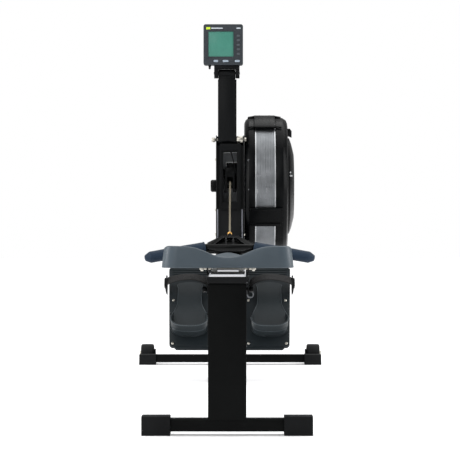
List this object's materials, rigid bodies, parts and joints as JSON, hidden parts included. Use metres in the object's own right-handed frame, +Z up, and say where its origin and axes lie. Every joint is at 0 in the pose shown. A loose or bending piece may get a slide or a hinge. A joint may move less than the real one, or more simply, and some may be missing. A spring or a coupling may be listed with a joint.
{
  "type": "rowing machine",
  "caption": "Air-resistance rowing machine: sliding seat on a single steel-topped rail, caged fan, chain-driven handle, strapped footboards and an adjustable display.",
  "frame": {"origin": "on the floor, at the middle of the machine's length and of the front foot's width", "axes": "+X to the rower's right, +Y from the seat towards the fan, +Z up"},
  "size_m": [0.61, 2.44, 1.1223],
  "materials": {
    "frame_steel": "satin fine-texture powder coat",
    "black_plastic": "moulded, fine grain",
    "slate_plastic": "moulded, fine grain",
    "seat_moulding": "moulded, soft satin",
    "black_rubber": "matte",
    "grip_rubber": "matte, ribbed",
    "track_steel": "polished along its length",
    "rail_aluminium": "anodised",
    "fan_steel": "plated",
    "screen_metal": "perforated sheet",
    "bolt_steel": "zinc plated",
    "chain_steel": "nickel plated",
    "lcd": "clear window over a liquid crystal panel",
    "pale_key": "soft keys",
    "webbing": "woven polyester"
  },
  "bodies": {
    "front_frame": {"lower_frame": "frame_steel", "mast": "frame_steel", "chain_guide_bezel": "black_plastic", "chain_guide": "black_plastic", "front_leg": "frame_steel", "front_foot_cap_left": "black_rubber", "front_foot_cap_right": "black_rubber", "handle_hook": "black_plastic", "left_footboard": "slate_plastic", "right_footboard": "slate_plastic", "left_foot_strap": "webbing", "right_foot_strap": "webbing", "flywheel_cover_left": "black_plastic", "flywheel_cover_right": "black_plastic", "flywheel_screen": "screen_metal", "upper_cover_clip": "black_plastic", "lower_cover_clip": "black_plastic", "damper_cover": "black_plastic", "axle_end_cap": "black_plastic", "arm_pivot_bolt": "bolt_steel", "sensor_cable": "black_plastic", "shock_cord": "webbing"},
    "rail_assembly": {"rail": "rail_aluminium", "rail_track": "track_steel", "rail_end_cap": "black_plastic", "rear_leg": "frame_steel", "rear_foot_cap_left": "black_rubber", "rear_foot_cap_right": "black_rubber"},
    "seat": {"seat_pad": "seat_moulding", "seat_carriage": "frame_steel"},
    "rear_rollers": {"rear_rollers": "black_plastic"},
    "front_rollers": {"front_rollers": "black_plastic"},
    "lower_roller_left": {"lower_roller_left": "black_plastic"},
    "lower_roller_right": {"lower_roller_right": "black_plastic"},
    "monitor_arm": {"monitor_arm": "black_plastic"},
    "monitor": {"monitor_case": "black_plastic", "monitor_screen": "lcd", "monitor_yoke": "black_plastic"},
    "flywheel": {"flywheel": "fan_steel"},
    "sprocket": {"sprocket": "bolt_steel"},
    "damper_lever": {"damper_lever": "black_plastic"},
    "guide_roller": {"guide_roller": "black_plastic"},
    "chain": {"chain": "chain_steel"},
    "handle": {"handle_frame": "black_plastic", "handle_grip_left": "grip_rubber", "handle_grip_right": "grip_rubber"},
    "left_heel_cup": {"left_heel_cup": "slate_plastic"},
    "right_heel_cup": {"right_heel_cup": "slate_plastic"},
    "left_wheel": {"left_wheel": "black_rubber"},
    "right_wheel": {"right_wheel": "black_rubber"},
    "frame_lock": {"frame_lock": "bolt_steel"},
    "side_button_1": {"side_button_1": "black_plastic"},
    "side_button_2": {"side_button_2": "black_plastic"},
    "side_button_3": {"side_button_3": "black_plastic"},
    "side_button_4": {"side_button_4": "black_plastic"},
    "side_button_5": {"side_button_5": "black_plastic"},
    "units_button": {"units_button": "pale_key"},
    "display_button": {"display_button": "pale_key"},
    "menu_button": {"menu_button": "pale_key"}
  },
  "joints": [
    {"name": "rail_separation", "type": "slide", "parent": "front_frame", "child": "rail_assembly", "axis": [0, -1, 0], "range_m": [0, 0.25]},
    {"name": "seat_slide", "type": "slide", "parent": "rail_assembly", "child": "seat", "axis": [0, 1, 0], "range_m": [-0.22, 0.87]},
    {"name": "rear_rollers_spin", "type": "hinge", "parent": "seat", "child": "rear_rollers", "pos_m": [0, -0.915, 0.368], "axis": [1, 0, 0], "continuous": true},
    {"name": "front_rollers_spin", "type": "hinge", "parent": "seat", "child": "front_rollers", "pos_m": [0, -0.791, 0.368], "axis": [1, 0, 0], "continuous": true},
    {"name": "lower_roller_left_spin", "type": "hinge", "parent": "seat", "child": "lower_roller_left", "pos_m": [-0.0335, -0.853, 0.3157], "axis": [1, 0, 0], "continuous": true},
    {"name": "lower_roller_right_spin", "type": "hinge", "parent": "seat", "child": "lower_roller_right", "pos_m": [0.0335, -0.853, 0.3157], "axis": [1, 0, 0], "continuous": true},
    {"name": "monitor_arm_tilt", "type": "hinge", "parent": "front_frame", "child": "monitor_arm", "pos_m": [0, 0.812, 0.747], "axis": [1, 0, 0], "range_deg": [-10, 60]},
    {"name": "monitor_tilt", "type": "hinge", "parent": "monitor_arm", "child": "monitor", "pos_m": [-0.01, 0.812, 0.965], "axis": [1, 0, 0], "range_deg": [-20, 25]},
    {"name": "side_button_1_press", "type": "slide", "parent": "monitor", "child": "side_button_1", "axis": [0, 1, 0], "range_m": [0, 0.0012], "stiffness_N_per_m": 400, "springref_m": -0.001},
    {"name": "side_button_2_press", "type": "slide", "parent": "monitor", "child": "side_button_2", "axis": [0, 1, 0], "range_m": [0, 0.0012], "stiffness_N_per_m": 400, "springref_m": -0.001},
    {"name": "side_button_3_press", "type": "slide", "parent": "monitor", "child": "side_button_3", "axis": [0, 1, 0], "range_m": [0, 0.0012], "stiffness_N_per_m": 400, "springref_m": -0.001},
    {"name": "side_button_4_press", "type": "slide", "parent": "monitor", "child": "side_button_4", "axis": [0, 1, 0], "range_m": [0, 0.0012], "stiffness_N_per_m": 400, "springref_m": -0.001},
    {"name": "side_button_5_press", "type": "slide", "parent": "monitor", "child": "side_button_5", "axis": [0, 1, 0], "range_m": [0, 0.0012], "stiffness_N_per_m": 400, "springref_m": -0.001},
    {"name": "units_button_press", "type": "slide", "parent": "monitor", "child": "units_button", "axis": [0, 1, 0], "range_m": [0, 0.0012], "stiffness_N_per_m": 400, "springref_m": -0.001},
    {"name": "display_button_press", "type": "slide", "parent": "monitor", "child": "display_button", "axis": [0, 1, 0], "range_m": [0, 0.0012], "stiffness_N_per_m": 400, "springref_m": -0.001},
    {"name": "menu_button_press", "type": "slide", "parent": "monitor", "child": "menu_button", "axis": [0, 1, 0], "range_m": [0, 0.0012], "stiffness_N_per_m": 400, "springref_m": -0.001},
    {"name": "flywheel_spin", "type": "hinge", "parent": "front_frame", "child": "flywheel", "pos_m": [0.1, 0.992, 0.6], "axis": [1, 0, 0], "continuous": true},
    {"name": "sprocket_spin", "type": "hinge", "parent": "front_frame", "child": "sprocket", "pos_m": [0, 0.992, 0.6], "axis": [1, 0, 0], "continuous": true},
    {"name": "damper_turn", "type": "hinge", "parent": "front_frame", "child": "damper_lever", "pos_m": [0.1916, 0.992, 0.6], "axis": [1, 0, 0], "range_deg": [-30, 30]},
    {"name": "guide_roller_spin", "type": "hinge", "parent": "front_frame", "child": "guide_roller", "pos_m": [0, 0.814, 0.602], "axis": [1, 0, 0], "continuous": true},
    {"name": "chain_swing", "type": "hinge", "parent": "front_frame", "child": "chain", "pos_m": [0, 0.814, 0.602], "axis": [-1, 0, 0], "range_deg": [0, 38]},
    {"name": "handle_pull", "type": "slide", "parent": "chain", "child": "handle", "axis": [0, -0.8772, -0.4801], "range_m": [0, 0.65], "stiffness_N_per_m": 40, "springref_m": -0.6, "deforming": ["chain"]},
    {"name": "left_foot_adjust", "type": "slide", "parent": "front_frame", "child": "left_heel_cup", "axis": [0, 0.6428, 0.766], "range_m": [-0.03, 0.03]},
    {"name": "left_wheel_spin", "type": "hinge", "parent": "front_frame", "child": "left_wheel", "pos_m": [-0.28, 1.05, 0.0365], "axis": [1, 0, 0], "continuous": true},
    {"name": "right_foot_adjust", "type": "slide", "parent": "front_frame", "child": "right_heel_cup", "axis": [0, 0.6428, 0.766], "range_m": [-0.03, 0.03]},
    {"name": "right_wheel_spin", "type": "hinge", "parent": "front_frame", "child": "right_wheel", "pos_m": [0.28, 1.05, 0.0365], "axis": [1, 0, 0], "continuous": true},
    {"name": "frame_lock_swing", "type": "hinge", "parent": "front_frame", "child": "frame_lock", "pos_m": [0.05, 0.176, 0.302], "axis": [1, 0, 0], "range_deg": [0, 90]}
  ],
  "couplings": [
    {"joint": "rear_rollers_spin", "follows": "seat_slide", "rad_per_m": -78.74},
    {"joint": "front_rollers_spin", "follows": "seat_slide", "rad_per_m": -78.74},
    {"joint": "sprocket_spin", "follows": "handle_pull", "rad_per_m": 70.08},
    {"joint": "chain_swing", "follows": "handle_pull", "rad_per_m": 1}
  ]
}
